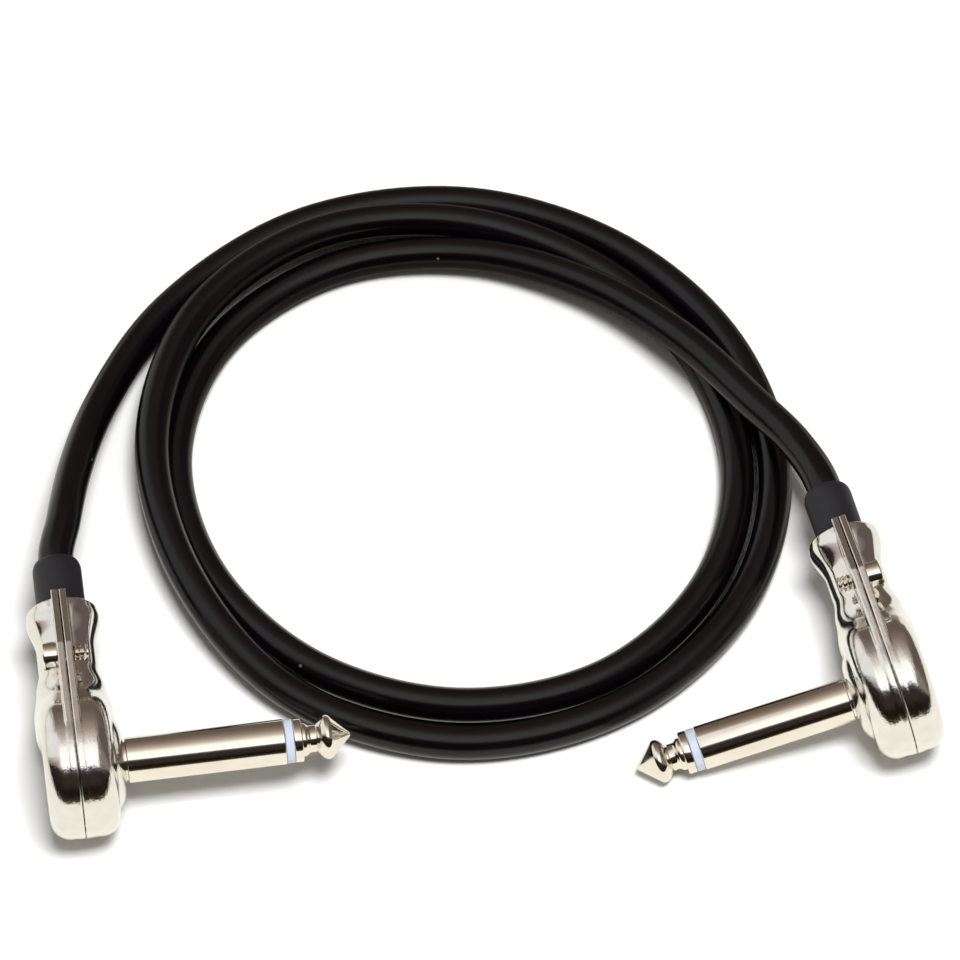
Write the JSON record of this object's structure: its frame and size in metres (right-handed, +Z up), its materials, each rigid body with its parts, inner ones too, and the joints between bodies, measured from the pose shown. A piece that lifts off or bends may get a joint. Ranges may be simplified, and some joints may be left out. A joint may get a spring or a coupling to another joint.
{
  "type": "instrument cable",
  "caption": "Short black instrument patch cable lying in a loose loop, with a flat round-bodied right-angle metal jack plug on each end.",
  "frame": {"origin": "on the table, under the middle of the box round the two plugs, the cable left out", "axes": "+X from the left plug to the right plug, +Y from the plugs towards the far side of the cable's loop, +Z up"},
  "size_m": [0.1289, 0.1185, 0.0214],
  "materials": {
    "nickel_plated_casting": "polished nickel plate over a die casting, faintly uneven",
    "nickel_plated_brass": "polished nickel plate over turned brass",
    "screw_steel": "nickel-plated steel",
    "white_insulator": "smooth",
    "brown_fibre": "matt vulcanised fibre",
    "tinned_brass": "tinned",
    "solder": "satin solder",
    "heat_shrink_black": "matt",
    "jacket_black": "satin soft jacket",
    "core_polythene": "milky",
    "copper_strands": "bare copper",
    "tinned_screen": "twisted tinned copper"
  },
  "bodies": {
    "root": {"left_base_shell": "nickel_plated_casting", "left_cover_shell": "nickel_plated_casting", "left_upper_clamp_screw": "screw_steel", "left_lower_clamp_screw": "screw_steel", "left_jack_sleeve": "nickel_plated_brass", "left_jack_insulator": "white_insulator", "left_jack_tip": "nickel_plated_brass", "left_rear_washer": "brown_fibre", "left_solder_tag": "tinned_brass", "left_tip_solder": "solder", "left_shield_solder": "solder", "left_heat_shrink": "heat_shrink_black", "left_core_insulation": "core_polythene", "left_signal_wire": "copper_strands", "left_shield_pigtail": "tinned_screen", "right_base_shell": "nickel_plated_casting", "right_cover_shell": "nickel_plated_casting", "right_upper_clamp_screw": "screw_steel", "right_lower_clamp_screw": "screw_steel", "right_jack_sleeve": "nickel_plated_brass", "right_jack_insulator": "white_insulator", "right_jack_tip": "nickel_plated_brass", "right_rear_washer": "brown_fibre", "right_solder_tag": "tinned_brass", "right_tip_solder": "solder", "right_shield_solder": "solder", "right_heat_shrink": "heat_shrink_black", "right_core_insulation": "core_polythene", "right_signal_wire": "copper_strands", "right_shield_pigtail": "tinned_screen", "cable_jacket": "jacket_black"}
  },
  "joints": []
}
